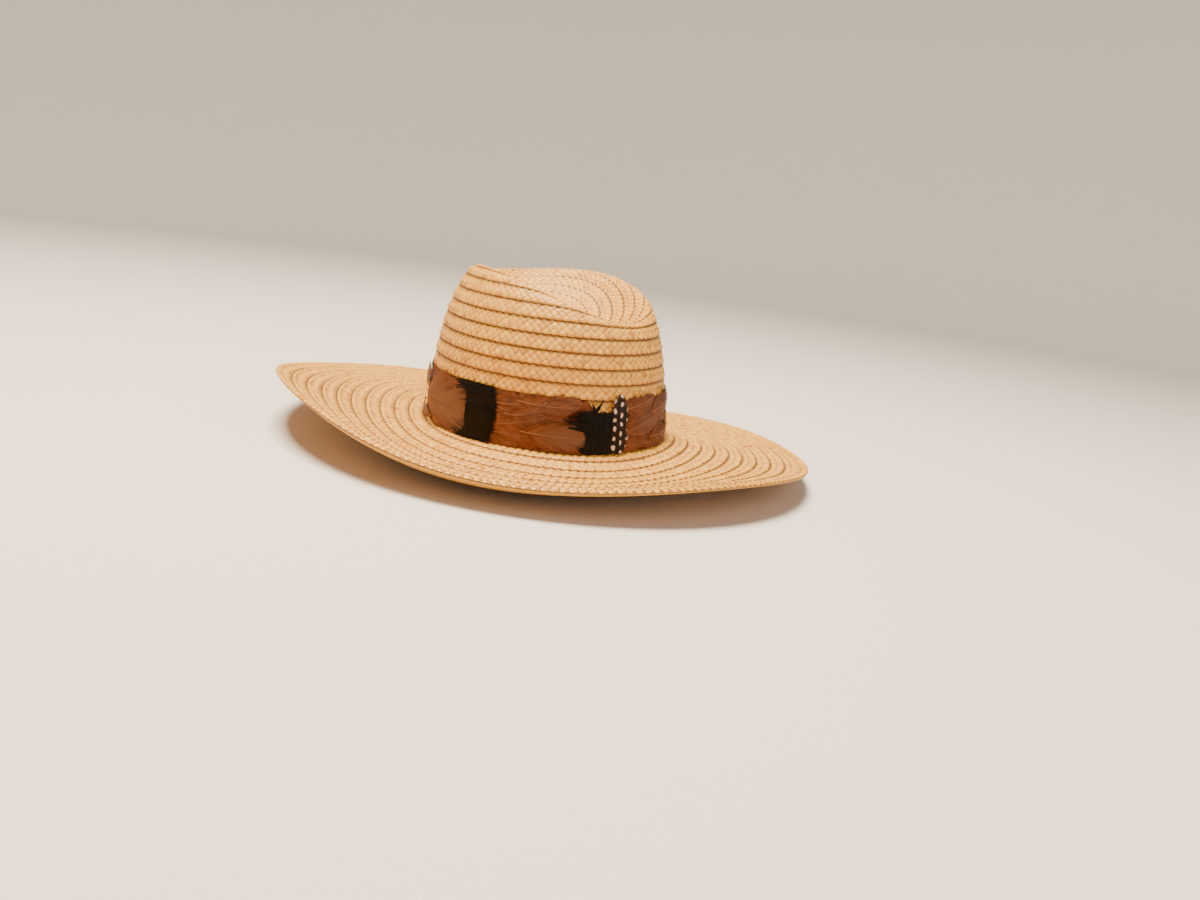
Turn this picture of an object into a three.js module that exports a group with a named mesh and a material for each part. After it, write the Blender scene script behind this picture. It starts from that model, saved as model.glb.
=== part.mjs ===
// A wide-brimmed hat of sewn straw braid with a feather hatband, resting on its brim.
// Millimetres. The wearer looks along -Y, the wearer's left is +X, up is +Z.
import * as THREE from 'three';
import { ParametricGeometry } from 'three/addons/geometries/ParametricGeometry.js';
import { mergeVertices } from 'three/addons/utils/BufferGeometryUtils.js';

const STRAW_COLOUR = '#d9b98a';
const RUST_COLOUR = '#8c5028';
const BLACK_COLOUR = '#1a1512';
const SPOTTED_COLOUR = '#4a423b';
const STRAW_ROUGHNESS = 0.55;
const FEATHER_ROUGHNESS = 0.7;

// Driving dimensions of the straw
const STRAW_WALL = 2.0;
const SEAT_GAP = 0.3;
const CROWN_HALF_LENGTH = 100.7;
const CROWN_HALF_WIDTH = 88.1;
const CROWN_TAPER = 0.08;
const DOME_HEIGHT = 149.3;
const DOME_FULLNESS = 2.78;
const DOME_SHOULDER = 2.35;

// The dish pressed into the top: the dome above a sloping crease plane is turned downwards
const CREASE_HEIGHT = 114.65;
const CREASE_RISE_LEFT = 0.054;
const CREASE_RISE_BACK = -0.118;
const CREASE_SADDLE = 0.0015;
const CREASE_TWIST = 0.0006;
const CREASE_SOFTNESS = 7.5;
const DISH_DEPTH_SHARE = 0.81;

// How the crown stands on the brim while the hat rests on a flat surface
const CROWN_SEAT_HEIGHT = 17.3;
const CROWN_LEAN_SIDE = 2.96;
const CROWN_LEAN_FRONT = 0.45;

// The brim: eight sections round the hat, counted from the wearer's left towards the back.
// third, twoThirds and edge are the heights of the upper face above the surface the hat rests
// on, a third and two thirds of the way out and at the edge.
const BRIM_WIDTH = 114.5;
const BRIM_OVAL = 2.2;
const BRIM_OVAL_TURN = 1.1;
const BRIM_SECTIONS = [
  { name: 'left', third: 9.0, twoThirds: 19.6, edge: 40.1 },
  { name: 'back left', third: 4.2, twoThirds: 6.8, edge: 19.4 },
  { name: 'back', third: 9.2, twoThirds: 15.5, edge: 25.4 },
  { name: 'back right', third: 16.0, twoThirds: 13.4, edge: 15.1 },
  { name: 'right', third: 9.4, twoThirds: 11.7, edge: 10.4 },
  { name: 'front right', third: 10.1, twoThirds: 5.0, edge: 2.0 },
  { name: 'front', third: 14.5, twoThirds: 14.3, edge: 15.7 },
  { name: 'front left', third: 20.3, twoThirds: 24.6, edge: 31.3 },
];

// The feather hatband, in heights above the crown's seat
const BAND_FOOT = 1.2;
const BAND_TOP = 44.0;
const BAND_THIN = 1.8;
const BAND_FULL = 3.4;
const BAND_FEATHERS = 14;
const BAND_TOP_WAVE = 1.6;
const BAND_FEATHER_SLANT = 0.8;

// Feathers laid over the band. from and to are degrees round the crown from the wearer's left
// towards the back; foot and head are heights above the crown's seat.
const TRIM_WALL = 1.6;
const TRIM_FEATHERS = [
  { name: 'black_feather', from: 15, to: 33, foot: 2.2, head: 42, notch: 2.2, teeth: 5,
    colour: BLACK_COLOUR },
  { name: 'barbed_black_feather', from: 71, to: 82.6, foot: 2.2, head: 38, notch: 3.0, teeth: 6,
    colour: BLACK_COLOUR },
  { name: 'spotted_feather', from: 83.2, to: 93, foot: 2.2, head: 43, notch: 1.2, teeth: 4,
    colour: SPOTTED_COLOUR },
];

const FULL_TURN = Math.PI * 2;
const WELD_DISTANCE = 1e-4;
const CROWN_STEPS = { around: 56, along: 24 };
const BRIM_STEPS = { around: 56, along: 11 };
const BAND_STEPS = { around: 84, along: 5 };
const TRIM_STEPS = { around: 8, along: 14 };

const crownLean = new THREE.Matrix4()
  .makeRotationX(THREE.MathUtils.degToRad(CROWN_LEAN_FRONT))
  .multiply(new THREE.Matrix4().makeRotationY(THREE.MathUtils.degToRad(CROWN_LEAN_SIDE)))
  .setPosition(0, 0, CROWN_SEAT_HEIGHT);

// The value of a brim column at an angle, a smooth closed wave through the eight sections
function roundTheBrim(column, angle) {
  const count = BRIM_SECTIONS.length;
  return BRIM_SECTIONS.reduce((sum, section, index) => {
    const away = angle - (index * FULL_TURN) / count;
    const turned = away - FULL_TURN * Math.round(away / FULL_TURN);
    if (Math.abs(turned) < 1e-9) return sum + section[column];
    const weight = Math.sin((count * turned) / 2) / (count * Math.tan(turned / 2));
    return sum + weight * section[column];
  }, 0);
}

// The size of a number, rounded off near zero
function softSize(value, softness) {
  const size = Math.abs(value);
  return size + softness * Math.log1p(Math.exp((-2 * size) / softness));
}

// The dent: height over the crease plane is folded down softly, so a crest stays round the dish
function pressDish(point) {
  const across = new THREE.Vector3(-CREASE_RISE_LEFT, -CREASE_RISE_BACK, 1);
  const slope = across.length();
  across.normalize();
  const saddle = CREASE_SADDLE * (point.x ** 2 - point.y ** 2) + 2 * CREASE_TWIST * point.x * point.y;
  const plane = CREASE_HEIGHT + CREASE_RISE_LEFT * point.x + CREASE_RISE_BACK * point.y + saddle;
  const over = (point.z - plane) / slope;
  const kept = ((1 - DISH_DEPTH_SHARE) / 2) * over;
  const folded = kept - ((1 + DISH_DEPTH_SHARE) / 2) * softSize(over, CREASE_SOFTNESS);
  return point.addScaledVector(across, folded - over);
}

// A point of the crown's outer face; climb runs from 0 at the seat to 1 at the tip
function crownFace(climb, angle) {
  const height = Math.sin((climb * Math.PI) / 2);
  const size = (1 - CROWN_TAPER * height) * (1 - height ** DOME_FULLNESS) ** (1 / DOME_SHOULDER);
  const x = CROWN_HALF_WIDTH * size * Math.cos(angle);
  const y = CROWN_HALF_LENGTH * size * Math.sin(angle);
  return pressDish(new THREE.Vector3(x, y, height * DOME_HEIGHT));
}

// A point at a depth below the crown's outer face, measured square to it
function crownLayer(climb, angle, depth) {
  const nudge = 0.0005;
  const here = Math.min(climb, 1 - 3 * nudge);
  const turn = here < climb ? 0 : angle;
  const up = crownFace(here + nudge, turn).sub(crownFace(here - nudge, turn));
  const side = crownFace(here, turn + nudge).sub(crownFace(here, turn - nudge));
  const outward = side.cross(up).normalize();
  return crownFace(climb, angle).addScaledVector(outward, -depth);
}

// The share of the climb at which the crown wall reaches a height above its seat
function climbAt(height) {
  return Math.asin(height / DOME_HEIGHT) / (Math.PI / 2);
}

// The height of the brim's upper face: a smooth curve out through the four stations
function brimHeight(share, angle, seat) {
  const stations = [
    [0, seat],
    [1 / 3, roundTheBrim('third', angle)],
    [2 / 3, roundTheBrim('twoThirds', angle)],
    [1, roundTheBrim('edge', angle)],
  ];
  return stations.reduce((sum, [here, height]) => {
    const others = stations.filter(([there]) => there !== here);
    const weight = others.reduce((w, [there]) => (w * (share - there)) / (here - there), 1);
    return sum + weight * height;
  }, 0);
}

// A point of the brim's upper face; reach is the distance out from the crown wall, and a
// negative reach is under the wall, where the brim lies square to the leaning crown
function brimFace(reach, angle) {
  const outward = new THREE.Vector3(
    CROWN_HALF_LENGTH * Math.cos(angle),
    CROWN_HALF_WIDTH * Math.sin(angle),
    0,
  ).normalize();
  const root = new THREE.Vector3(
    CROWN_HALF_WIDTH * Math.cos(angle),
    CROWN_HALF_LENGTH * Math.sin(angle),
    0,
  )
    .addScaledVector(outward, Math.min(0, reach))
    .applyMatrix4(crownLean);
  const oval = BRIM_OVAL * Math.cos(2 * angle) + BRIM_OVAL_TURN * Math.sin(2 * angle);
  const out = Math.max(0, reach);
  const share = out / BRIM_WIDTH;
  root.addScaledVector(outward, out * (1 + oval / BRIM_WIDTH));
  root.z = brimHeight(share, angle, root.z);
  return root;
}

// A closed body from a surface that runs once round its own section. The turn round the hat
// is taken clockwise, which makes the faces point outwards.
function solidFrom(surface, around, along) {
  const geometry = new ParametricGeometry(
    (u, v, target) => target.copy(surface(1 - u, v)),
    around,
    along,
  );
  geometry.deleteAttribute('normal');
  geometry.deleteAttribute('uv');
  const welded = mergeVertices(geometry, WELD_DISTANCE);
  const corners = welded.index.array;
  const kept = [];
  for (let i = 0; i < corners.length; i += 3) {
    const [a, b, c] = corners.slice(i, i + 3);
    if (a !== b && b !== c && c !== a) kept.push(a, b, c);
  }
  welded.setIndex(kept);
  welded.computeVertexNormals();
  return welded;
}

function named(name, geometry, colour, roughness) {
  const material = new THREE.MeshStandardMaterial({ color: colour, roughness, metalness: 0 });
  const mesh = new THREE.Mesh(geometry, material);
  mesh.name = name;
  return mesh;
}

// Runs down the outer face and back up the inner one; the first and last points meet at the tip
function makeCrown() {
  const { around, along } = CROWN_STEPS;
  const foot = climbAt(SEAT_GAP);
  const surface = (u, v) => {
    const step = Math.round(v * (2 * along + 1));
    const outside = step <= along;
    const share = outside ? step / along : (2 * along + 1 - step) / along;
    const climb = 1 - (1 - foot) * share;
    return crownLayer(climb, u * FULL_TURN, outside ? 0 : STRAW_WALL);
  };
  const geometry = solidFrom(surface, around, 2 * along + 1);
  const crown = named('crown', geometry, STRAW_COLOUR, STRAW_ROUGHNESS);
  crown.applyMatrix4(crownLean);
  return crown;
}

// The brim reaches in under the crown wall, which stands on it
function makeBrim() {
  const { around, along } = BRIM_STEPS;
  const surface = (u, v) => {
    const step = Math.round(v * (2 * along + 2)) % (2 * along + 2);
    const above = step <= along;
    const ring = above ? step : 2 * along + 1 - step;
    const reach = ring === 0 ? -STRAW_WALL : (BRIM_WIDTH * (ring - 1)) / (along - 1);
    const point = brimFace(reach, u * FULL_TURN);
    if (!above) point.z -= STRAW_WALL;
    return point;
  };
  return named('brim', solidFrom(surface, around, 2 * along + 2), STRAW_COLOUR, STRAW_ROUGHNESS);
}

// Feathers lie round the band like shingles, each one thick at its quill and thin at its tip
function featherRise(angle, share) {
  const place = (angle / FULL_TURN) * BAND_FEATHERS + BAND_FEATHER_SLANT * share;
  const along = place - Math.floor(place);
  const swell = Math.sin(Math.PI * share) ** 0.5;
  return BAND_THIN + (BAND_FULL - BAND_THIN) * along * swell;
}

function bandHead(angle) {
  return BAND_TOP + BAND_TOP_WAVE * Math.sin(BAND_FEATHERS * angle);
}

function bandLayer(share, angle, rise) {
  const height = BAND_FOOT + (bandHead(angle) - BAND_FOOT) * share;
  return crownLayer(climbAt(height), angle, -(SEAT_GAP + rise));
}

function makeBand() {
  const { around, along } = BAND_STEPS;
  const surface = (u, v) => {
    const step = Math.round(v * (2 * along + 2)) % (2 * along + 2);
    const outside = step <= along;
    const share = outside ? 1 - step / along : (step - along - 1) / along;
    const angle = u * FULL_TURN;
    return bandLayer(share, angle, outside ? featherRise(angle, share) : 0);
  };
  const geometry = solidFrom(surface, around, 2 * along + 2);
  const band = named('rust_feather_band', geometry, RUST_COLOUR, FEATHER_ROUGHNESS);
  band.applyMatrix4(crownLean);
  return band;
}

// A feather laid on the band: its side edges are cut to points and thin out to nothing
function makeTrim({ name, from, to, foot, head, notch, teeth, colour }) {
  const { around, along } = TRIM_STEPS;
  const start = THREE.MathUtils.degToRad(from);
  const end = THREE.MathUtils.degToRad(to);
  const loop = 2 * along + 2;
  const surface = (u, v) => {
    const step = Math.round(v * loop) % loop;
    const outside = step <= along;
    const share = outside ? 1 - step / along : (step - along - 1) / along;
    const tooth = Math.abs(((share * teeth) % 1) - 0.5) * 2;
    const inset = (notch / CROWN_HALF_WIDTH) * tooth;
    const angle = start + inset + (end - start - 2 * inset) * u;
    const height = foot + (head - foot) * share;
    const edge = u < 1e-6 || u > 1 - 1e-6;
    const rise = BAND_FULL + SEAT_GAP + (outside && !edge ? TRIM_WALL : 0);
    return crownLayer(climbAt(height), angle, -(SEAT_GAP + rise));
  };
  const trim = named(name, solidFrom(surface, around, loop), colour, FEATHER_ROUGHNESS);
  trim.applyMatrix4(crownLean);
  return trim;
}

// Sets the hat down so that the middle of its footprint is the origin
function setDown(hat) {
  const bounds = new THREE.Box3().setFromObject(hat, true);
  const centre = bounds.getCenter(new THREE.Vector3());
  hat.position.set(-centre.x, -centre.y, -bounds.min.z);
  return hat;
}

const hat = new THREE.Group();
hat.name = 'straw_hat';
hat.add(makeCrown(), makeBrim(), makeBand(), ...TRIM_FEATHERS.map(makeTrim));
setDown(hat);
export default hat;
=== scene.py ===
"""A wide-brimmed hat of sewn straw braid with a feather hatband, finished for rendering.

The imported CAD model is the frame. The straw is plaited splint by splint along the sewn rows, and
the hatband is made of separate feathers with their barbs. Metres in Blender, millimetres in the
named sizes below.
"""
import math
from typing import NamedTuple

import bmesh
import bpy
import numpy as np
from bpy.props import FloatProperty, IntProperty, PointerProperty, StringProperty
from mathutils import Matrix, Vector


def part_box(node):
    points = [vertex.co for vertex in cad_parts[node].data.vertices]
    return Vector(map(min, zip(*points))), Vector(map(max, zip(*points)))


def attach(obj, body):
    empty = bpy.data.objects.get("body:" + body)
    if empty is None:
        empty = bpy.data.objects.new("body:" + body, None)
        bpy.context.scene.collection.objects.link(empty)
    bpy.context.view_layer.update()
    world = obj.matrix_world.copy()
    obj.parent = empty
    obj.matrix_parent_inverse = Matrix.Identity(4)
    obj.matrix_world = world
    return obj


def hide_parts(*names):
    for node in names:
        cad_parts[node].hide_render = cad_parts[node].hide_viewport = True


bl_info = {
    "name": "Plaited Straw Hat",
    "version": (1, 0, 0),
    "blender": (4, 5, 0),
    "location": "View3D > Sidebar > Straw Hat",
    "description": "Plaits, trims and lights a straw hat on its packed frame",
    "category": "Add Mesh",
}

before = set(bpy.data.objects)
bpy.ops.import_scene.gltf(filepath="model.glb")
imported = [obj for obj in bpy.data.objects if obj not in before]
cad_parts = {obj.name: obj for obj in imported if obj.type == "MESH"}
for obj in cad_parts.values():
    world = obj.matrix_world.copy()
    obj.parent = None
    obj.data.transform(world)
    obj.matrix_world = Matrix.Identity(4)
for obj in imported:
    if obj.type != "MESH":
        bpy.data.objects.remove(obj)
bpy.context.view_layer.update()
MM = 0.001
FULL_TURN = 2 * math.pi

# The straw form, in millimetres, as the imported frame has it
STRAW_WALL = 2.0
CROWN_HALF_LENGTH = 100.7
CROWN_HALF_WIDTH = 88.1
CROWN_TAPER = 0.08
DOME_HEIGHT = 149.3
DOME_FULLNESS = 2.78
DOME_SHOULDER = 2.35
CREASE_HEIGHT = 114.65
CREASE_RISE_LEFT = 0.054
CREASE_RISE_BACK = -0.118
CREASE_SADDLE = 0.0015
CREASE_TWIST = 0.0006
CREASE_SOFTNESS = 7.5
DISH_DEPTH_SHARE = 0.81
CROWN_SEAT_HEIGHT = 17.3
CROWN_LEAN_SIDE = 2.96
CROWN_LEAN_FRONT = 0.45
SEAT_GAP = 0.3
BRIM_WIDTH = 114.5
BRIM_OVAL = 2.2
BRIM_OVAL_TURN = 1.1

# Heights of the brim's upper face, section by section, from the wearer's left round the back
BRIM_SECTIONS = (
    {"name": "left", "third": 9.0, "two_thirds": 19.6, "edge": 40.1},
    {"name": "back left", "third": 4.2, "two_thirds": 6.8, "edge": 19.4},
    {"name": "back", "third": 9.2, "two_thirds": 15.5, "edge": 25.4},
    {"name": "back right", "third": 16.0, "two_thirds": 13.4, "edge": 15.1},
    {"name": "right", "third": 9.4, "two_thirds": 11.7, "edge": 10.4},
    {"name": "front right", "third": 10.1, "two_thirds": 5.0, "edge": 2.0},
    {"name": "front", "third": 14.5, "two_thirds": 14.3, "edge": 15.7},
    {"name": "front left", "third": 20.3, "two_thirds": 24.6, "edge": 31.3},
)

# The hatband, in heights over the crown's seat; its feathers stop lower in one stretch, in degrees
BAND_FOOT = 1.2
BAND_HEAD = 40.5
BAND_GAP = {"from": 74.5, "to": 86.0, "head": 29.5}
BAND_MIDDLE = 20.0

# The plait: lengths in millimetres, swing in degrees, the rest as shares
SPLINT_LINES = 4
SPLINT_LENGTH_SHARE = 1.2
SPLINT_WIDTH_SHARE = 0.97
SPLINT_ARCH = 0.9
SPLINT_SIDE_DROP = 0.22
SPLINT_WANDER = 0.14
SPLINT_SWING = 3.0
SPLINT_TONE = 0.45
SPLINT_TONE_SPREAD = 0.12
BOW_SPREAD = 0.1
EDGE_ROUND = 0.25
EDGE_DROP = 1.2
ROW_LAP = 1.9
RIBBON_PIECE = 7.0
SHELL_SINK = 0.25
RIM_ROUND = 3.0
RIM_THINNING = 1.3
FOOT_ROUND = 590.0
STRAW_BEHIND_BAND = 2.2
FIBRE_SPACING = 0.25
COARSE_FIBRE_SPACING = 0.5
STRAW_MAPS = ("splint", "tone")
STRAW_SKINS = ("Plaited_wheat_straw", "Plaited_straw_edge", "Plaited_straw_inner_face")

# Feathers: lengths in millimetres, angles in degrees, the rest as shares
WIDE_FEATHER = 4.0
ROOT_SHARE = 0.18
FIRST_BARB = 0.03
BARB_ANGLE = 44
BARB_ANGLE_FALL = 26
BARB_CURL = 0.62
BARB_CLUMP = 3.5
BARB_STRAY = 1.6
BARB_SPREAD = 0.06
BARB_BREADTH = 0.62
BARB_TILT = 0.03
BARB_ROOT_RISE = 0.25
RISE_SPREAD = 0.05
SHORTEST_BARB = 0.8
BELOW_FOOT = 0.7
CLUMP_PLACES = 14
STREAK_PLACES = 24
STREAK_SPREAD = 0.13
BARB_TONE_SPREAD = 0.1
TRIM_SPREAD = 0.35
TIP_RISE = 0.7
SHAFT_SHARE = 0.97
SHAFT_EASE = 1.5
SHAFT_RISE = 0.45
SHAFT_TONE = 0.8
SHAFT_PALE = 0.6
SMALL_FEATHER_ROWS = (8.0, 21.0, 32.0)
TAPE_BELOW_HEAD = 1.2
TAPE_OUTER = 1.1
TAPE_INNER = 0.3
PATCH_SIZE = 6.25
THREAD_SPACING = 1.0
DOT_COLUMN = 5.4
DOT_ROW = 6.6
DOT_HALF_WIDTH = 1.3
DOT_HALF_HEIGHT = 1.75
FEATHER_MAPS = ("barb", "vane", "flat")

# The stage, in metres; each light's place is measured from the hat, back towards the camera
FLOOR_RADIUS = 2.2
SWEEP_RADIUS = 0.8
SWEEP_STEPS = 12
WALL_HEIGHT = 1.4
LIGHT_AIM = (0, 0, 0.06)
LIGHTS = (
    {"name": "key_light", "back": 0.14, "right": -0.3, "up": 1.9, "size": 0.8, "colour": "#FFEBD0"},
    {"name": "fill_light", "back": 0.8, "right": 1.4, "up": 0.8, "size": 1.4, "colour": "#F4F6FF"},
)

# The photo's frame in pixels, and the camera's sensor in millimetres
FRAME_WIDTH = 1200
FRAME_HEIGHT = 900
SENSOR_WIDTH = 36.0


# Forms shared with the frame

def around_axes(side, front):
    """The crown's lean as a matrix, from its two angles in degrees."""
    turn = Matrix.Rotation(math.radians(front), 3, "X") @ Matrix.Rotation(math.radians(side), 3, "Y")
    return np.array(turn)


CROWN_LEAN = around_axes(CROWN_LEAN_SIDE, CROWN_LEAN_FRONT)


def stand_crown(points):
    """Leans points of the crown and lifts them onto their seat."""
    return points @ CROWN_LEAN.T + np.array((0.0, 0.0, CROWN_SEAT_HEIGHT))


def soft_size(value, softness):
    """The size of a number, rounded off near zero."""
    size = np.abs(value)
    return size + softness * np.log1p(np.exp(-2 * size / softness))


def press_dish(points):
    """Turns the dome above the sloping crease plane downwards, with a round crest."""
    x, y, z = points[..., 0], points[..., 1], points[..., 2]
    across = np.array((-CREASE_RISE_LEFT, -CREASE_RISE_BACK, 1.0))
    slope = np.linalg.norm(across)
    saddle = CREASE_SADDLE * (x ** 2 - y ** 2) + 2 * CREASE_TWIST * x * y
    plane = CREASE_HEIGHT + CREASE_RISE_LEFT * x + CREASE_RISE_BACK * y + saddle
    over = (z - plane) / slope
    kept = (1 - DISH_DEPTH_SHARE) / 2 * over
    folded = kept - (1 + DISH_DEPTH_SHARE) / 2 * soft_size(over, CREASE_SOFTNESS)
    return points + (folded - over)[..., None] * across / slope


def dome_size(height):
    """The dome's width at a share of its height, as a share of the width at its foot."""
    shoulder = np.maximum(0.0, 1 - np.abs(height) ** DOME_FULLNESS) ** (1 / DOME_SHOULDER)
    return (1 - CROWN_TAPER * height) * shoulder


def crown_face(climb, angle):
    """Points of the crown's outer face; climb runs from 0 at the seat to 1 at the tip."""
    height = np.sin(climb * math.pi / 2)
    size = dome_size(height)
    x = CROWN_HALF_WIDTH * size * np.cos(angle)
    y = CROWN_HALF_LENGTH * size * np.sin(angle)
    return press_dish(np.stack((x, y, height * DOME_HEIGHT + 0 * angle), -1))


def layer(face, along, angle, rise, nudge):
    """Points at a rise over a face, measured square to it."""
    up = face(along + nudge, angle) - face(along - nudge, angle)
    side = face(along, angle + 0.002) - face(along, angle - 0.002)
    outward = np.cross(side, up)
    outward /= np.maximum(1e-12, np.linalg.norm(outward, axis=-1, keepdims=True))
    return face(along, angle) + outward * np.asarray(rise)[..., None]


def crown_layer(climb, angle, rise):
    """Points over the crown, standing on its seat."""
    held = np.clip(climb, 0.001, 0.996)
    return stand_crown(layer(crown_face, held, angle, rise, 0.0005))


def climb_at(height):
    """The climb at which the crown wall reaches a height over its seat."""
    return np.arcsin(np.asarray(height) / DOME_HEIGHT) / (math.pi / 2)


def round_the_brim(column, angle):
    """A brim column's value at an angle, a smooth closed wave through the eight sections."""
    count = len(BRIM_SECTIONS)
    total = 0.0 * angle
    for index, section in enumerate(BRIM_SECTIONS):
        away = angle - index * FULL_TURN / count
        away = away - FULL_TURN * np.round(away / FULL_TURN)
        safe = np.where(np.abs(away) < 1e-9, 1.0, away)
        weight = np.where(
            np.abs(away) < 1e-9, 1.0, np.sin(count * safe / 2) / (count * np.tan(safe / 2))
        )
        total = total + weight * section[column]
    return total


def brim_height(share, angle, seat):
    """The height of the brim's upper face: a smooth curve out through its four stations."""
    stations = (
        (0.0, seat),
        (1 / 3, round_the_brim("third", angle)),
        (2 / 3, round_the_brim("two_thirds", angle)),
        (1.0, round_the_brim("edge", angle)),
    )
    total = 0.0 * angle
    for here, height in stations:
        weight = 1.0
        for there, _ in stations:
            if there != here:
                weight = weight * (share - there) / (here - there)
        total = total + weight * height
    return total


def brim_face(reach, angle):
    """Points of the brim's upper face; reach is the distance out from the crown wall."""
    outward = np.stack(
        (CROWN_HALF_LENGTH * np.cos(angle), CROWN_HALF_WIDTH * np.sin(angle), 0 * angle), -1
    )
    outward /= np.linalg.norm(outward, axis=-1, keepdims=True)
    root = np.stack(
        (CROWN_HALF_WIDTH * np.cos(angle), CROWN_HALF_LENGTH * np.sin(angle), 0 * angle), -1
    )
    root = stand_crown(root + outward * np.minimum(0, reach)[..., None])
    oval = BRIM_OVAL * np.cos(2 * angle) + BRIM_OVAL_TURN * np.sin(2 * angle)
    out = np.maximum(0, reach)
    share = out / BRIM_WIDTH
    points = root + outward * (out * (1 + oval / BRIM_WIDTH))[..., None]
    points[..., 2] = brim_height(share, angle, root[..., 2])
    return points


def brim_layer(reach, angle, rise):
    """Points over the brim. The turn runs the other way, so the rise is reversed."""
    return layer(brim_face, reach, angle, -np.asarray(rise), 0.05)


def hat_offset():
    """How far the frame's hat is moved from the form's own middle, in millimetres."""
    angle = np.linspace(0, FULL_TURN, 721)
    edge = brim_face(np.full_like(angle, BRIM_WIDTH), angle)
    low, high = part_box("brim")
    middle = (np.array(low) + np.array(high)) / 2 / MM
    own = (edge.min(0) + edge.max(0)) / 2
    return np.array((middle[0] - own[0], middle[1] - own[1], 0.0))


HAT_OFFSET = hat_offset()


def in_metres(points):
    """Form points in millimetres as places in the frame."""
    return (points + HAT_OFFSET) * MM


# Meshes

def paired(first, second):
    """Two arrays of numbers as one array of pairs."""
    return np.stack(np.broadcast_arrays(first, second), -1)


def length_along(path):
    """The distance along a line of points, from its first one."""
    steps = np.linalg.norm(np.diff(path, axis=0), axis=1)
    return np.concatenate(([0.0], np.cumsum(steps)))


def new_object(name, data):
    """An object in the scene."""
    made = bpy.data.objects.new(name, data)
    bpy.context.scene.collection.objects.link(made)
    return made


def grid_unit(columns, rows):
    """A flat grid from -1 to 1 each way, as its corner places and its faces' corners."""
    bm = bmesh.new()
    bmesh.ops.create_grid(bm, x_segments=columns, y_segments=rows, size=1.0)
    bm.verts.ensure_lookup_table()
    places = np.array([v.co[:2] for v in bm.verts])
    faces = np.array([[v.index for v in f.verts] for f in bm.faces])
    bm.free()
    return places, faces


def mesh_from_copies(name, points, faces, maps):
    """One mesh of many copies of a grid unit: points is copies by corners by 3, in metres."""
    copies, corners = points.shape[:2]
    offsets = (np.arange(copies) * corners)[:, None, None]
    loops = (faces[None] + offsets).reshape(-1)
    sides = faces.shape[1]
    mesh = bpy.data.meshes.new(name)
    mesh.vertices.add(copies * corners)
    mesh.vertices.foreach_set("co", points.reshape(-1).astype(np.float32))
    mesh.loops.add(len(loops))
    mesh.loops.foreach_set("vertex_index", loops.astype(np.int32))
    mesh.polygons.add(len(loops) // sides)
    mesh.polygons.foreach_set("loop_start", np.arange(0, len(loops), sides, dtype=np.int32))
    mesh.update(calc_edges=True)
    for title, values in maps.items():
        layer_data = mesh.uv_layers.new(name=title)
        flat = values.reshape(-1, 2)[loops]
        layer_data.data.foreach_set("uv", flat.reshape(-1).astype(np.float32))
    mesh.shade_smooth()
    mesh.validate()
    return mesh


def bent_sheet(name, surface, around, along, uv_maps):
    """A closed body: a grid bent once round the hat and once round its own section.

    surface takes arrays u and v from 0 to 1 and gives points in millimetres.
    """
    unit, faces = grid_unit(around, along)
    u, v = (unit[:, 0] + 1) / 2, (unit[:, 1] + 1) / 2
    maps = {title: maker(u, v) for title, maker in uv_maps.items()}
    mesh = mesh_from_copies(name, in_metres(surface(u, v))[None], faces, maps)
    bm = bmesh.new()
    bm.from_mesh(mesh)
    bmesh.ops.remove_doubles(bm, verts=bm.verts, dist=1e-6)
    bmesh.ops.recalc_face_normals(bm, faces=bm.faces)
    bm.to_mesh(mesh)
    bm.free()
    return mesh


def joined(name, meshes, materials):
    """One object from several meshes with the same maps, each with its own material."""
    bm = bmesh.new()
    for found in meshes[0].uv_layers:
        bm.loops.layers.uv.new(found.name)
    for index, mesh in enumerate(meshes):
        start = len(bm.faces)
        bm.from_mesh(mesh)
        bm.faces.ensure_lookup_table()
        for face in bm.faces[start:]:
            face.material_index = index
            face.smooth = True
    whole = bpy.data.meshes.new(name)
    bm.to_mesh(whole)
    bm.free()
    for mesh in meshes:
        bpy.data.meshes.remove(mesh)
    for material in materials:
        whole.materials.append(material)
    return new_object(name, whole)


def finish_piece(piece, node):
    """The piece stands for its CAD node and rides on the hat's one body."""
    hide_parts(node)
    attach(piece, "root")


# Materials

def linear(hex_colour):
    """An sRGB hex colour as linear RGBA."""
    parts = [int(hex_colour[i:i + 2], 16) / 255 for i in (1, 3, 5)]
    turned = [p / 12.92 if p <= 0.04045 else ((p + 0.055) / 1.055) ** 2.4 for p in parts]
    return (*turned, 1.0)


def add_node(tree, kind, inputs=None, **settings):
    """Adds a node; inputs maps a socket's name or number to a value or to another node's socket."""
    node = tree.nodes.new(kind)
    for key, value in settings.items():
        setattr(node, key, value)
    for key, value in (inputs or {}).items():
        if isinstance(value, bpy.types.NodeSocket):
            tree.links.new(value, node.inputs[key])
        else:
            node.inputs[key].default_value = value
    return node


def worked_out(tree, operation, *values):
    """The result of one sum on sockets and numbers."""
    return add_node(tree, "ShaderNodeMath", dict(enumerate(values)), operation=operation).outputs[0]


def rescaled(tree, value, start, end, low, high):
    """A value moved from the span start to end onto the span low to high, and held inside it."""
    return add_node(tree, "ShaderNodeMapRange", {
        "Value": value, "From Min": start, "From Max": end, "To Min": low, "To Max": high,
    }).outputs[0]


def blended(tree, share, first, second):
    """A colour between two others."""
    node = add_node(tree, "ShaderNodeMix", {0: share, 6: first, 7: second}, data_type="RGBA")
    return node.outputs[2]


def noise(tree, place, scale, detail):
    """Smooth random values from 0 to 1."""
    node = add_node(tree, "ShaderNodeTexNoise", {"Vector": place, "Scale": scale, "Detail": detail})
    return node.outputs[0]


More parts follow.
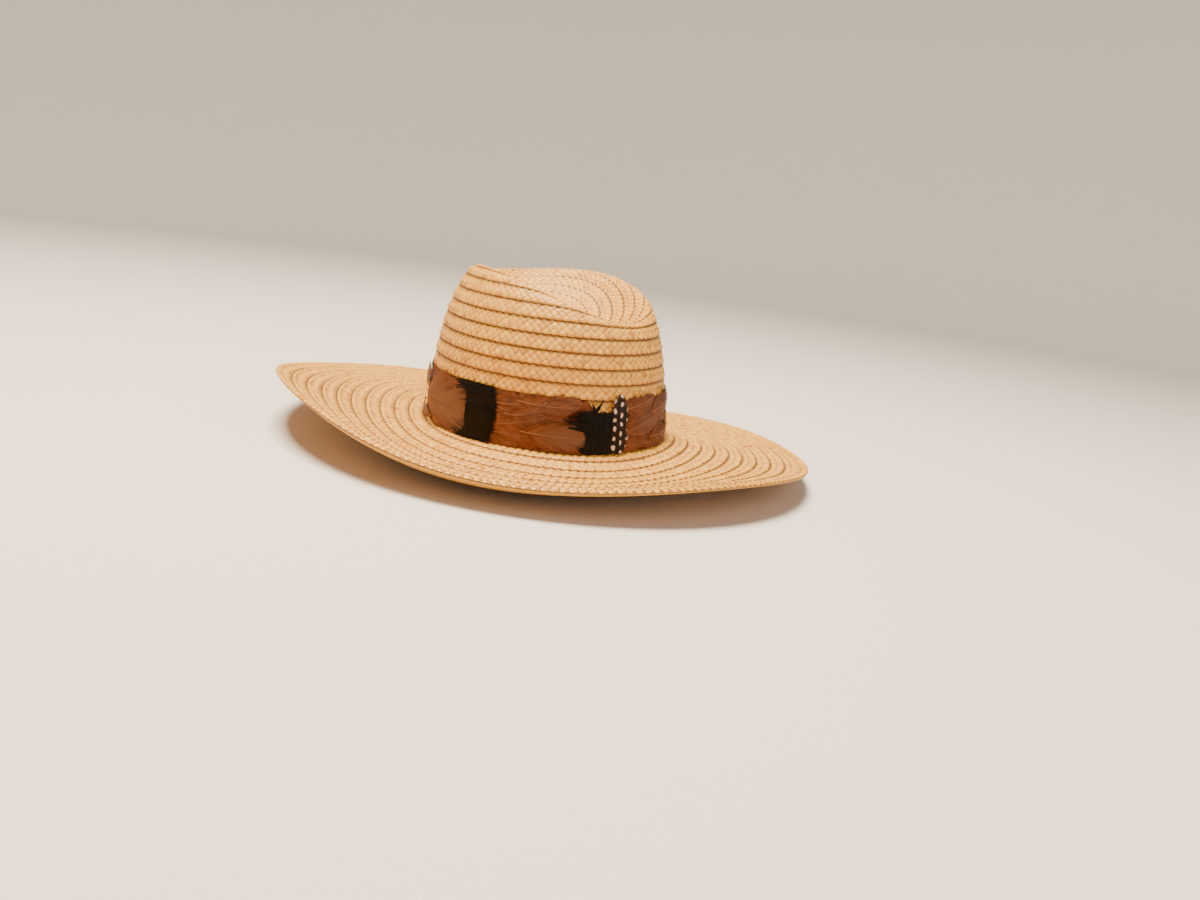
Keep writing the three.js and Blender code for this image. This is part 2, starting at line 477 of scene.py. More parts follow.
def stretched(tree, place, along, across):
    """A map scaled by two numbers, for fibres that run one way."""
    return add_node(tree, "ShaderNodeMapping", {0: place, 3: (along, across, 1.0)}).outputs[0]


def raise_surface(tree, shader, height, strength, depth):
    """Small relief on a shader from a height; depth is in millimetres."""
    bump = add_node(tree, "ShaderNodeBump", {
        "Height": height, "Strength": strength, "Distance": depth * MM,
    })
    tree.links.new(bump.outputs[0], shader.inputs["Normal"])


def new_material(name, **values):
    """A material with one Principled shader, whose plain sockets are set here."""
    material = bpy.data.materials.new(name)
    material.use_nodes = True
    tree = material.node_tree
    shader = tree.nodes["Principled BSDF"]
    for key, value in values.items():
        shader.inputs[key].default_value = value
    return material, tree, shader


def ramp(tree, factor, stops):
    """A colour ramp through (place, sRGB hex) stops."""
    node = add_node(tree, "ShaderNodeValToRGB", {0: factor})
    band = node.color_ramp
    while len(band.elements) < len(stops):
        band.elements.new(0.5)
    for element, (place, colour) in zip(band.elements, stops):
        element.position = place
        element.color = linear(colour)
    return node.outputs[0]


def split_map(tree, title):
    """A UV map as a place, and its two numbers."""
    source = add_node(tree, "ShaderNodeUVMap", uv_map=title)
    parts = add_node(tree, "ShaderNodeSeparateXYZ", {0: source.outputs[0]})
    return source.outputs[0], parts.outputs[0], parts.outputs[1]


def straw_material(settings):
    """Natural wheat straw, split, bleached and plaited by hand: a waxy skin with fine fibres."""
    # The waxy skin gives each splint a soft glint, and splints differ a little in tone.
    _, tree, shader = new_material(
        "Plaited_wheat_straw", Roughness=0.5, IOR=1.43,
        **{"Coat Weight": 0.12, "Coat Roughness": 0.25},
    )
    splint, _, side = split_map(tree, "splint")
    _, tone, edge = split_map(tree, "tone")
    # Fibres run along the splint, and each splint has its own, because its tone moves the noise.
    apart = add_node(tree, "ShaderNodeCombineXYZ", {2: worked_out(tree, "MULTIPLY", tone, 37.0)})
    placed = add_node(tree, "ShaderNodeVectorMath", {
        0: stretched(tree, splint, 1.2, 10 / FIBRE_SPACING), 1: apart.outputs[0],
    }, operation="ADD")
    fibres = noise(tree, placed.outputs[0], 1.0, 3.0)
    mixed = worked_out(tree, "MULTIPLY_ADD", fibres, 0.35, tone)
    colour = ramp(tree, worked_out(tree, "SUBTRACT", mixed, 0.17), (
        (0.0, settings.dark_colour), (0.3, settings.straw_colour),
        (0.75, settings.pale_colour), (1.0, settings.glint_colour),
    ))
    # Painted shade: a splint is painted browner along its two sides, where it dips under its neighbours.
    painted_side_shade = rescaled(tree, worked_out(tree, "ABSOLUTE", side), 0.15, 0.225, 0.0, 0.55)
    colour_with_side_shade = blended(tree, painted_side_shade, colour, linear(settings.dark_colour))
    # Painted shade: the straw is darkened towards the row line where a row goes in under the edge of the
    # next.
    painted_lap_shade = rescaled(tree, edge, 0.78, 0.94, 0.0, 0.85)
    colour_with_lap_shade = blended(tree, painted_lap_shade, colour_with_side_shade, linear(settings.shadow_colour))
    tree.links.new(colour_with_lap_shade, shader.inputs["Base Color"])
    tree.links.new(rescaled(tree, fibres, 0.0, 1.0, 0.38, 0.62), shader.inputs["Roughness"])
    raise_surface(tree, shader, fibres, 0.35, 0.12)


def straw_edge_material(settings):
    """The braid's body between its splints: the same straw painted darker as shade, with coarser fibres."""
    _, tree, shader = new_material("Plaited_straw_edge", Roughness=0.6, IOR=1.5)
    run, _, _ = split_map(tree, "splint")
    # Fibres lie along the row.
    grain = noise(tree, stretched(tree, run, 2.0, 10 / COARSE_FIBRE_SPACING), 1.0, 2.0)
    # Painted shade: the colour runs only from dark straw to plain straw, darker than the splints.
    colour = ramp(tree, grain, ((0.2, settings.dark_colour), (0.8, settings.straw_colour)))
    tree.links.new(colour, shader.inputs["Base Color"])
    raise_surface(tree, shader, grain, 0.4, 0.15)


def straw_back_material(settings):
    """The plait's inner face: the same straw, duller, in checks as wide as a splint."""
    _, tree, shader = new_material("Plaited_straw_inner_face", Roughness=0.62, IOR=1.5)
    plait, _, _ = split_map(tree, "splint")
    _, _, rows = split_map(tree, "tone")
    # The splints cross on the diagonal.
    turned = add_node(tree, "ShaderNodeMapping", {0: plait, 2: (0.0, 0.0, math.radians(45))})
    checks = add_node(tree, "ShaderNodeTexChecker", {
        "Vector": turned.outputs[0], "Scale": 10.0 / settings.splint_width,
    }).outputs[1]
    colour = ramp(tree, noise(tree, plait, 9.0, 4.0), (
        (0.3, settings.dark_colour), (0.5, settings.straw_colour), (0.75, settings.pale_colour),
    ))
    shaded = blended(tree, checks, colour, linear(settings.straw_colour))
    # Each row laps the next, so a dark line of painted shade runs between rows; the same line is pressed in
    # as a groove in the bump.
    row_groove_and_shade = rescaled(tree, worked_out(tree, "FRACT", rows), 0.0, 0.14, 0.75, 0.0)
    colour_with_row_shade = blended(tree, row_groove_and_shade, shaded, linear(settings.shadow_colour))
    tree.links.new(colour_with_row_shade, shader.inputs["Base Color"])
    raise_surface(tree, shader, worked_out(tree, "SUBTRACT", checks, row_groove_and_shade), 0.6, 0.5)


# The braid

def row_track(outer, pitch, total, first, limit):
    """Where the sewn braid runs: turn numbers with the place of its outer edge and its length."""
    turns = np.arange(0.0, total, 1 / 360)
    edge = np.minimum(limit, first + pitch * turns)
    return turns, edge, length_along(outer(edge - pitch / 2, turns * FULL_TURN))


def plait_rows(name, settings, place, outer, pitch, first, limit, shown):
    """The splints of the braid over a face, each crossing one bowed patch of straw.

    place(across, angle, rise) gives points; outer(across, angle) the row's middle line; shown
    (across, angle) tells which crossings are in sight.
    """
    total = (limit - first) / pitch + 1
    turns, edge, length = row_track(outer, pitch, total, first, limit)
    step = settings.splint_width * math.sqrt(2)
    unit, faces = grid_unit(4, settings.splint_sides)
    along, across = unit[:, 0], unit[:, 1]
    half = settings.splint_width / 2
    run = along[None] * half * SPLINT_LENGTH_SHARE
    side = across[None] * half * SPLINT_WIDTH_SHARE
    arch = np.cos(along * math.pi / 2 * SPLINT_ARCH)[None]
    chance = np.random.default_rng(settings.seed)
    parts, splint_maps, tone_maps = [], [], []
    for line in range(SPLINT_LINES):
        middle = (np.arange(int(length[-1] / step)) + 0.5 * (line % 2)) * step
        count = len(middle)
        inward = settings.edge_inset + line * step / 2
        lean = math.radians(45 if line % 2 else -45)
        wander = chance.normal(0.0, SPLINT_WANDER, (count, 2))
        swing = (lean + chance.normal(0.0, math.radians(SPLINT_SWING), count))[:, None]
        tone = np.clip(chance.normal(SPLINT_TONE, SPLINT_TONE_SPREAD, count), 0.02, 0.98)
        ahead = middle[:, None] + wander[:, :1] + run * np.cos(swing) - side * np.sin(swing)
        depth = inward + wander[:, 1:] + run * np.sin(swing) + side * np.cos(swing)
        bow = settings.plait_height * arch * (1 + chance.normal(0.0, BOW_SPREAD, (count, 1)))
        rise = bow - SPLINT_SIDE_DROP * across[None] ** 2
        beyond = np.maximum(0.0, EDGE_ROUND - depth)
        held = np.maximum(depth, 0.0)
        rise = np.maximum(rise - EDGE_DROP * beyond, np.minimum(rise, -settings.row_lift))
        turn = np.interp(ahead, length, turns)
        before = first + pitch * (np.interp(middle, length, turns) - 1)
        spot = np.interp(turn, turns, edge) - held
        lift = settings.row_lift * (1 - held / pitch)
        core = spot.mean(axis=1)
        bare = core > np.minimum(before, limit) - ROW_LAP
        keep = bare & shown(core, turn.mean(axis=1) * FULL_TURN)
        parts.append(in_metres(place(spot, turn * FULL_TURN, rise + lift))[keep])
        splint_maps.append(paired(run + 0 * depth, side)[keep] / 10)
        tone_maps.append(paired(tone[:, None], held / pitch)[keep])
    maps = {"splint": np.concatenate(splint_maps), "tone": np.concatenate(tone_maps)}
    splints = mesh_from_copies(name, np.concatenate(parts), faces, maps)
    ribbon = row_ribbon(name + "_ribbon", settings, place, pitch, shown, (turns, edge, length))
    return splints, ribbon


def row_ribbon(name, settings, place, pitch, shown, track):
    """The body of the braid under its splints: thick at the sewn edge, thin where it is lapped."""
    turns, edge, length = track
    starts = np.arange(0, length[-1] - RIBBON_PIECE, RIBBON_PIECE)
    # Five lines across: the foot and the shoulder of the edge wall, then in under the next row.
    depth_at = np.array((0.35, 0.2, 1.2, pitch / 2, pitch + 0.6))
    rise_at = np.array((-0.2, 0.55, 0.8, 0.35, -0.15)) * settings.row_lift
    unit, faces = grid_unit(1, len(depth_at) - 1)
    line = np.round((unit[:, 1] + 1) * (len(depth_at) - 1) / 2).astype(int)
    ahead = starts[:, None] + RIBBON_PIECE * (unit[None, :, 0] + 1) / 2
    turn = np.interp(ahead, length, turns)
    spot = np.interp(turn, turns, edge) - depth_at[line][None]
    points = in_metres(place(np.maximum(0.05, spot), turn * FULL_TURN, rise_at[line][None]))
    keep = shown(spot.mean(axis=1), turn.mean(axis=1) * FULL_TURN)
    run = paired(ahead, depth_at[line][None]) / 10
    return mesh_from_copies(name, points[keep], faces, dict.fromkeys(STRAW_MAPS, run[keep]))


def crown_scale():
    """The crown wall's length from the tip, for each climb, along its mean outline."""
    climb = np.linspace(1, 0, 801)
    height = np.sin(climb * math.pi / 2)
    radius = (CROWN_HALF_LENGTH + CROWN_HALF_WIDTH) / 2 * dome_size(height)
    return climb, length_along(paired(radius, height * DOME_HEIGHT))


CLIMBS, CROWN_RUNS = crown_scale()


def climb_from_tip(run):
    """The climb at a distance from the tip along the crown wall."""
    return np.interp(run, CROWN_RUNS, CLIMBS)


def gap_share(angle):
    """How far a place lies inside the stretch where the hatband is low, from 0 to 1."""
    degrees = np.degrees(angle) % 360
    return 1 / (1 + np.exp(BAND_GAP["from"] - degrees)) / (1 + np.exp(degrees - BAND_GAP["to"]))


def head_drop(angle):
    """How much lower than elsewhere the hatband's head is at an angle."""
    return (BAND_HEAD - BAND_GAP["head"]) * gap_share(angle)


def above_band(run, angle):
    """Whether the crown's straw is in sight over the hatband."""
    height = DOME_HEIGHT * np.sin(climb_from_tip(run) * math.pi / 2)
    return (run > 0.2) & (height > BAND_HEAD - STRAW_BEHIND_BAND - head_drop(angle))


def crown_shell(settings):
    """The straw behind the crown's splints: closed round the tip and the foot."""
    around, along = 120, 46
    foot = climb_at(SEAT_GAP)

    def climb_on(v):
        step = np.round(v * (2 * along + 1))
        outside = step <= along
        share = np.where(outside, step, 2 * along + 1 - step) / along
        return 1 - (1 - foot) * share, outside

    def surface(u, v):
        climb, outside = climb_on(v)
        angle = np.where(climb > 0.999, 0.0, u * FULL_TURN)
        return crown_layer(climb, angle, np.where(outside, -SHELL_SINK, -STRAW_WALL))

    def run_from_tip(v):
        return np.interp(-climb_on(v)[0], -CLIMBS, CROWN_RUNS)

    def run_map(u, v):
        return paired(u * FOOT_ROUND, run_from_tip(v)) / 10

    def row_map(u, v):
        return paired(0.0, (run_from_tip(v) - settings.crown_first) / settings.crown_pitch - u)

    return bent_sheet(
        "crown_shell", surface, around, 2 * along + 1, {"splint": run_map, "tone": row_map}
    )


def ring_at(v, along):
    """The step out along a closed section, and whether it lies on the outer or upper face."""
    step = np.round(v * (2 * along + 2)) % (2 * along + 2)
    outside = step <= along
    return np.where(outside, step, 2 * along + 1 - step), outside


def brim_shell(settings):
    """The straw behind the brim's splints, with the brim's underside and its rounded edge."""
    around, along = 144, 18

    def reach_at(v):
        ring, above = ring_at(v, along)
        return np.where(ring == 0, -STRAW_WALL, (BRIM_WIDTH - 1.0) * (ring - 1) / (along - 1)), above

    def surface(u, v):
        reach, above = reach_at(v)
        sink = np.where(above & (reach > 0), -SHELL_SINK, 0.0)
        points = brim_layer(reach, u * FULL_TURN, sink)
        rim = np.clip((reach - BRIM_WIDTH) / RIM_ROUND + 1, 0, 1)
        points[:, 2] -= np.where(above, 0.0, STRAW_WALL - RIM_THINNING * rim)
        return points

    def run_map(u, v):
        reach, _ = reach_at(v)
        return paired(u * (FOOT_ROUND + FULL_TURN * reach), reach) / 10

    def row_map(u, v):
        reach, _ = reach_at(v)
        return paired(0.0, (reach - settings.brim_first) / settings.brim_pitch - u)

    return bent_sheet(
        "brim_shell", surface, around, 2 * along + 2, {"splint": run_map, "tone": row_map}
    )


# The feathers

class Feather(NamedTuple):
    """One feather on the band; lengths are millimetres and angles are degrees."""

    at: float           # where its root is, round the crown from the wearer's left towards the back
    height: float       # of the root over the crown's seat
    heading: float      # of the shaft at its root, up from the way round
    length: float
    half_width: float
    bend: float         # how far the shaft turns up along its length
    lift: float         # of the root off the crown
    barbs: int          # on each side
    pale: float         # share of tan in the vane
    tip: float          # a low number gives a round end, a high one a long point
    loose: float = 1.0  # how far the barbs stray
    head: float = None  # where the barbs are trimmed, if not at the band's own head

    def trimmed_at(self):
        """The height where the barbs are cut off."""
        return BAND_HEAD if self.head is None else self.head


RUST_FEATHERS = (
    Feather(-22, 20, 1, 68, 24, -3, 3.6, 130, 0.95, 0.16, 0.35),
    Feather(-46, 26, 6, 52, 18, 12, 4.0, 90, 0.15, 0.5),
    Feather(-40, 8, -8, 56, 8, 12, 4.2, 80, 0.0, 0.7),
    Feather(26, 31, -6, 50, 13, 22, 2.0, 80, 0.25, 0.6),
    Feather(27, 14, 6, 48, 14, 14, 2.1, 80, 0.3, 0.6),
    Feather(36, 24, -10, 34, 12, 60, 2.6, 64, 0.45, 0.7),
    Feather(42, 34, -8, 44, 10, 14, 2.7, 70, 0.4, 0.6),
    Feather(44, 13, -3, 45, 13, 4, 3.5, 110, 1.0, 0.24, 0.4),
    Feather(88, 12, 24, 52, 20, -14, 2.3, 110, 0.65, 0.3, 0.5),
    Feather(90, 31, 8, 36, 11, 14, 2.2, 70, 0.3, 0.6),
    Feather(108, 27, 8, 44, 14, 10, 2.9, 80, 0.2, 0.5),
    Feather(108, 10, -4, 44, 11, 14, 2.6, 76, 0.1, 0.5),
)
BLACK_FEATHERS = tuple(
    Feather(8.5, 4.0 + 7.6 * row, -1 + row, 42 - 0.6 * (row - 2.5) ** 2, 9, 4 - 2 * row,
            3.0 + 0.2 * (row % 2), 90, 0.0, 0.24)
    for row in range(6)
)
# Upright black barbs in a tuft, and long points that run back over the rust feathers
BARBED_FEATHERS = (
    *(Feather(73.0 + 2.3 * index, -4.0, 96 - 3.0 * index, 34.5, 9, 2 - index,
              3.4 + 0.25 * (index % 2), 80, 0.0, 0.3, head=32.0) for index in range(5)),
    *(Feather(76, *point, 40, 0.0, 1.1, head=43.0) for point in (
        (29.0, 175, 14.0, 2.0, 6, 4.0),
        (27.0, 180, 19.0, 2.4, 4, 4.2),
        (20.0, 172, 24.0, 2.2, -8, 4.4),
        (17.5, 178, 20.0, 2.4, -6, 4.2),
        (30.0, 62, 11.0, 1.6, -10, 4.0),
        (24.0, 166, 15.0, 2.0, 8, 4.5),
        (28.0, 100, 9.0, 2.0, 20, 4.0),
    )),
)
SPOTTED_FEATHERS = (Feather(87.8, -4, 91, 46.5, 8.3, -2, 4.2, 120, 0.0, 0.3, head=43.0),)


def band_scale():
    """The length round the band's outer face for each angle."""
    angle = np.linspace(-math.pi, 3 * math.pi, 1441)
    middle = climb_at(BAND_MIDDLE + 0 * angle)
    path = crown_layer(middle, angle, 2.0 + 0 * angle)
    run = length_along(path)
    return angle, run - np.interp(0.0, angle, run)


BAND_ANGLES, BAND_RUNS = band_scale()


def on_band(run, height, rise):
    """Points on the band from the length round it, the height over the seat and the rise."""
    angle = np.interp(run, BAND_RUNS, BAND_ANGLES)
    return crown_layer(climb_at(np.clip(height, 0.4, 70.0)), angle, rise)


def vane_width(share, tip):
    """A feather's half width along its shaft, from the root; a high tip is a long point."""
    root = np.clip(share / ROOT_SHARE, 0, 1) ** 0.6
    return root * np.clip(1 - share, 0, 1) ** tip


def shaft_line(feather, share):
    """The shaft's length round the band, its height and its heading, at shares of its length."""
    track = np.linspace(0, 1, 65)
    turn = np.radians(feather.heading + feather.bend * track)
    half_step = feather.length / (len(track) - 1) / 2
    ahead, above = (
        np.concatenate(([0], np.cumsum(part[1:] + part[:-1]))) * half_step
        for part in (np.cos(turn), np.sin(turn))
    )
    start = np.interp(math.radians(feather.at), BAND_ANGLES, BAND_RUNS)
    # A shaft that climbs to the band's head lies down along it.
    under = feather.trimmed_at() - 1.0
    height = feather.height + np.interp(share, track, above)
    height = under - SHAFT_EASE * np.log1p(np.exp((under - height) / SHAFT_EASE))
    return start + np.interp(share, track, ahead), height, np.interp(share, track, turn)


def barb_lengths(feather, share, open_angle):
    """How long each barb is when it ends on the feather's outline, found by halving."""
    lean = open_angle * (1 - BARB_CURL / 2)
    low, high = 0 * share, np.full_like(share, 3.0 * feather.half_width + 3.0)
    for _ in range(18):
        middle = (low + high) / 2
        ahead = np.minimum(1.0, share + middle * np.cos(lean) / feather.length)
        outside = middle * np.sin(lean) > feather.half_width * vane_width(ahead, feather.tip)
        low, high = np.where(outside, low, middle), np.where(outside, middle, high)
    return low + 0.5


def feather_barbs(feather, unit, chance):
    """All barbs of one feather: their corners on the band, and three maps for the material."""
    share = np.repeat(np.linspace(FIRST_BARB, 1.0, feather.barbs), 2)
    hand = np.tile((1.0, -1.0), feather.barbs)
    count = len(share)
    shaft_x, shaft_y, heading = shaft_line(feather, share)
    clumps = chance.normal(0, math.radians(BARB_CLUMP), CLUMP_PLACES)
    clump = np.interp(share, np.linspace(0, 1, CLUMP_PLACES), clumps)
    stray = feather.loose * (chance.normal(0, math.radians(BARB_STRAY), count) + clump)
    open_angle = math.radians(BARB_ANGLE) - math.radians(BARB_ANGLE_FALL) * share
    length = barb_lengths(feather, share, open_angle)
    length = length * (1 + feather.loose * chance.normal(0, BARB_SPREAD, count))
    # Barbs are trimmed at the band's head and foot.
    rising = np.sin(heading + hand * open_angle * 0.6)
    head = feather.trimmed_at() + chance.normal(0, TRIM_SPREAD, count)
    if feather.head is None:
        head = head - head_drop(np.interp(shaft_x, BAND_RUNS, BAND_ANGLES))
    room = np.where(rising > 0, head - shaft_y, shaft_y - BAND_FOOT + BELOW_FOOT)
    length = np.clip(room / np.maximum(0.02, np.abs(rising)), 0.05, length)
    out, side = (unit[None, :, 0] + 1) / 2, unit[None, :, 1]

    def barb_heading(curl):
        opened = open_angle[:, None] * (1 - curl * out) + stray[:, None]
        return heading[:, None] + hand[:, None] * opened

    middle, end = barb_heading(BARB_CURL / 2), barb_heading(BARB_CURL)
    breadth = feather.length / feather.barbs * BARB_BREADTH * (1.05 - 0.9 * out ** 3)
    x = shaft_x[:, None] + length[:, None] * out * np.cos(middle) - breadth * side * np.sin(end)
    y = shaft_y[:, None] + length[:, None] * out * np.sin(middle) + breadth * side * np.cos(end)
    rise = feather.lift + TIP_RISE * share[:, None] + BARB_ROOT_RISE * (1 - out) ** 2
    rise = rise + BARB_TILT * side * hand[:, None] + chance.normal(0, RISE_SPREAD, (count, 1))
    points = in_metres(on_band(x, y, rise))
    streaks = chance.normal(0, STREAK_SPREAD, STREAK_PLACES)
    streak = np.interp(share, np.linspace(0, 1, STREAK_PLACES), streaks)
    tone = np.clip(chance.normal(0.5, BARB_TONE_SPREAD, count) + streak, 0, 1)
    barb = paired(out, tone[:, None])
    vane = paired(share[:, None] + 0 * x, feather.pale)
    flat = paired(x - shaft_x[0], y) / 10
    whole = length > SHORTEST_BARB
    return points[whole], barb[whole], vane[whole], flat[whole]


def shaft_tube(feather, unit, thickness):
    """A feather's tapering shaft as one narrow strip down its middle."""
    out, side = (unit[:, 0] + 1) / 2, unit[:, 1]
    x, y, turn = shaft_line(feather, SHAFT_SHARE * out)
    breadth = thickness * (1.05 - out)
    x, y = x - breadth * side * np.sin(turn), y + breadth * side * np.cos(turn)
    rise = feather.lift + TIP_RISE * out + SHAFT_RISE + breadth * 0.8 * (1 - np.abs(side))
    points = in_metres(on_band(x, y, rise))
    maps = (paired(0 * x, SHAFT_TONE), paired(out, SHAFT_PALE), paired(x - x[0], y) / 10)
    return points[None], *(found[None] for found in maps)


def feather_mesh(name, feathers, seed, thickness):
    """Two meshes, the barbs and the shafts of many feathers."""
    chance = np.random.default_rng(seed)
    unit, faces = grid_unit(4, 1)
    strip, strip_faces = grid_unit(14, 2)
    barbs = [feather_barbs(feather, unit, chance) for feather in feathers]
    shafts = [
        shaft_tube(feather, strip, thickness) for feather in feathers if feather.half_width > WIDE_FEATHER
    ]
    meshes = []
    for title, made, corners in ((name, barbs, faces), (name + "_shafts", shafts, strip_faces)):
        points, *maps = [np.concatenate(column) for column in zip(*made)]
        meshes.append(mesh_from_copies(title, points, corners, dict(zip(FEATHER_MAPS, maps))))
    return meshes


def small_feathers(settings):
    """The small rust feathers that cover the band all round, lapping like shingles."""
    chance = np.random.default_rng(settings.seed)
    total = np.interp(FULL_TURN, BAND_ANGLES, BAND_RUNS)
    count = int(total / settings.spacing)
    found = []
    for row, height in enumerate(SMALL_FEATHER_ROWS):
        for index in range(count):
            at = (index + 0.33 * row + chance.uniform(-0.2, 0.2)) * 360 / count
            if row > 0 and BAND_GAP["from"] - 8 < (at + 10) % 360 < BAND_GAP["to"] + 2:
                continue
            found.append(Feather(
                at=at,
                height=height + chance.uniform(-2, 2),
                heading=chance.uniform(-16, 16) + (4 if row < 2 else -4),
                length=chance.uniform(28, 36),
                half_width=chance.uniform(7.5, 10),
                bend=chance.uniform(-22, 22),
                lift=1.3 + 0.25 * ((index * 2 + row) % 3),
                barbs=26,
                pale=chance.uniform(0.0, 0.45),
                tip=chance.uniform(0.4, 0.8),
            ))
    return found


def band_tape():
    """The cloth tape that the feathers are stuck to, lower where the straw shows."""
    around, along = 180, 4

    def surface(u, v):
        ring, outside = ring_at(v, along)
        angle = u * FULL_TURN
        head = BAND_HEAD - TAPE_BELOW_HEAD - head_drop(angle)
        height = BAND_FOOT + (head - BAND_FOOT) * (1 - ring / along)
        return crown_layer(climb_at(height), angle, np.where(outside, TAPE_OUTER, TAPE_INNER))

    def weave_map(u, v):
        return paired(u * FOOT_ROUND, v * BAND_HEAD) / 10

    maps = dict.fromkeys(FEATHER_MAPS, weave_map)
    return bent_sheet("tape", surface, around, 2 * along + 2, maps)


def feather_material(name, stops, pale, sheen, ior):
    """Keratin barbs with a soft silky lustre along each one; the down between them is darker."""
    # Barbs lie side by side, so the eye sees fine streaks from the shaft out, browner at the root.
    material, tree, shader = new_material(
        name, Roughness=0.6, IOR=ior, **{"Sheen Weight": sheen, "Sheen Roughness": 0.4}
    )
    _, _, tone = split_map(tree, "barb")
    _, share, tan = split_map(tree, "vane")
    flat, _, _ = split_map(tree, "flat")
    patches = noise(tree, flat, 10 / PATCH_SIZE, 2.0)
    mixed = worked_out(tree, "MULTIPLY_ADD", patches, 0.9, tone)
    colour = ramp(tree, worked_out(tree, "SUBTRACT", mixed, 0.45), stops)
    # The tan part of a vane begins past its root.
    tanned = worked_out(tree, "MULTIPLY", rescaled(tree, share, 0.05, 0.5, 0.0, 1.0), tan)
    blend = blended(tree, tanned, colour, linear(pale))
    tree.links.new(blend, shader.inputs["Base Color"])
    raise_surface(tree, shader, tone, 0.2, 0.1)
    return material, tree, shader, blend


def tape_material(settings):
    """Matt brown cotton tape: it shows as a dark line where the feathers part at the band's head."""
    material, tree, shader = new_material("Brown_cotton_tape", Roughness=0.9, IOR=1.2)
    flat, _, _ = split_map(tree, "flat")
    shader.inputs["Base Color"].default_value = linear(settings.tape_colour)
    raise_surface(tree, shader, noise(tree, flat, 10 / THREAD_SPACING, 2.0), 0.3, 0.1)
    return material


def spot_material(settings):
    """A dark barred feather with round white dots in two close columns."""
    # The dots are set in turn, one column half a step above the other.
    material, tree, shader, blend = feather_material(
        "Spotted_feather_barbs",
        ((0.0, settings.deep_dusk), (0.6, settings.dusk), (1.0, settings.soft_dusk)),
        settings.dusk, 0.03, 1.3,
    )
    whole_map, _, _ = split_map(tree, "flat")
    sway = add_node(tree, "ShaderNodeTexNoise", {"Vector": whole_map, "Scale": 1.1, "Detail": 0.0})
    pushed = add_node(tree, "ShaderNodeVectorMath", {
        0: sway.outputs["Color"], 1: (0.3, 0.3, 0.0), 2: whole_map,
    }, operation="MULTIPLY_ADD").outputs[0]
    parts = add_node(tree, "ShaderNodeSeparateXYZ", {0: pushed})
    column = worked_out(tree, "DIVIDE", parts.outputs[0], DOT_COLUMN / 10)
    row = worked_out(tree, "DIVIDE", parts.outputs[1], DOT_ROW / 10)
    odd = worked_out(tree, "MULTIPLY", worked_out(tree, "FLOOR", column), 0.5)
    moved = worked_out(tree, "ADD", row, odd)
    offsets = []
    for found, size in ((column, DOT_COLUMN / DOT_HALF_WIDTH), (moved, DOT_ROW / DOT_HALF_HEIGHT)):
        centred = worked_out(tree, "SUBTRACT", worked_out(tree, "FRACT", found), 0.5)
        offsets.append(worked_out(tree, "MULTIPLY", centred, size))
    spot = add_node(tree, "ShaderNodeCombineXYZ", dict(enumerate(offsets)))
    away = add_node(tree, "ShaderNodeVectorMath", {0: spot.outputs[0]}, operation="LENGTH")
    # The barbs part a little at a dot's edge, so it isn't quite round.
    rough = worked_out(tree, "MULTIPLY_ADD", noise(tree, pushed, 9.0, 2.0), 0.5, away.outputs["Value"])
    dotted = rescaled(tree, rough, 1.12, 1.3, 1.0, 0.0)
    whole = blended(tree, dotted, blend, linear(settings.dot_colour))
    tree.links.new(whole, shader.inputs["Base Color"])
    return material


# Sizes and colours that a user would change

class StrawSettings(bpy.types.PropertyGroup):
    """The straw braid."""

    splint_width: FloatProperty(name="Splint width", description="Width of one splint, mm", default=4.0)
    splint_sides: IntProperty(name="Splint sides", description="Faces across one splint", default=3)
    crown_pitch: FloatProperty(name="Crown pitch", description="Width of a row in sight, mm", default=10.67)
    brim_pitch: FloatProperty(name="Brim pitch", description="Width of a row in sight, mm", default=10.9)
    row_lift: FloatProperty(name="Row lift", description="Height of a row's outer edge, mm", default=1.0)
    plait_height: FloatProperty(name="Plait height", description="Bow of a splint, mm", default=0.65)
    edge_inset: FloatProperty(name="Edge inset", description="First crossing from the edge, mm", default=1.3)
    crown_first: FloatProperty(name="Crown start", description="First row from the tip, mm", default=8.4)
    brim_first: FloatProperty(name="Brim start", description="First row from the crown, mm", default=5.3)
    seed: IntProperty(name="Seed", description="Start of the plait's small differences", default=7)
    dark_colour: StringProperty(name="Dark straw", description="sRGB hex", default="#975C1E")
    straw_colour: StringProperty(name="Straw", description="sRGB hex", default="#CC9034")
    pale_colour: StringProperty(name="Pale straw", description="sRGB hex", default="#E6B046")
    glint_colour: StringProperty(name="Palest straw", description="sRGB hex", default="#F8CE64")
    shadow_colour: StringProperty(name="Row line", description="sRGB hex", default="#4A2E16")


class FeatherSettings(bpy.types.PropertyGroup):
    """The feather hatband."""

    seed: IntProperty(name="Seed", description="Start of the feathers' small differences", default=11)
    spacing: FloatProperty(name="Spacing", description="Between small feathers, mm", default=13.0)
    shaft: FloatProperty(name="Shaft", description="Half width of a shaft at its root, mm", default=0.45)
    dark_rust: StringProperty(name="Dark rust", description="sRGB hex", default="#371A0A")
    rust: StringProperty(name="Rust", description="sRGB hex", default="#69381A")
    bright_rust: StringProperty(name="Bright rust", description="sRGB hex", default="#8D532C")
    tan_colour: StringProperty(name="Tan", description="sRGB hex", default="#70503F")
    tape_colour: StringProperty(name="Tape", description="sRGB hex", default="#5A2E18")
    deep_black: StringProperty(name="Deep black", description="sRGB hex", default="#030202")
    black: StringProperty(name="Black", description="sRGB hex", default="#080706")
    soft_black: StringProperty(name="Soft black", description="sRGB hex", default="#181412")
    deep_dusk: StringProperty(name="Darkest round the dots", description="sRGB hex", default="#0E0A08")
    dusk: StringProperty(name="Dark round the dots", description="sRGB hex", default="#1E1613")
    soft_dusk: StringProperty(name="Palest round the dots", description="sRGB hex", default="#3A2E28")
    dot_colour: StringProperty(name="Dots", description="sRGB hex", default="#CDBDAE")


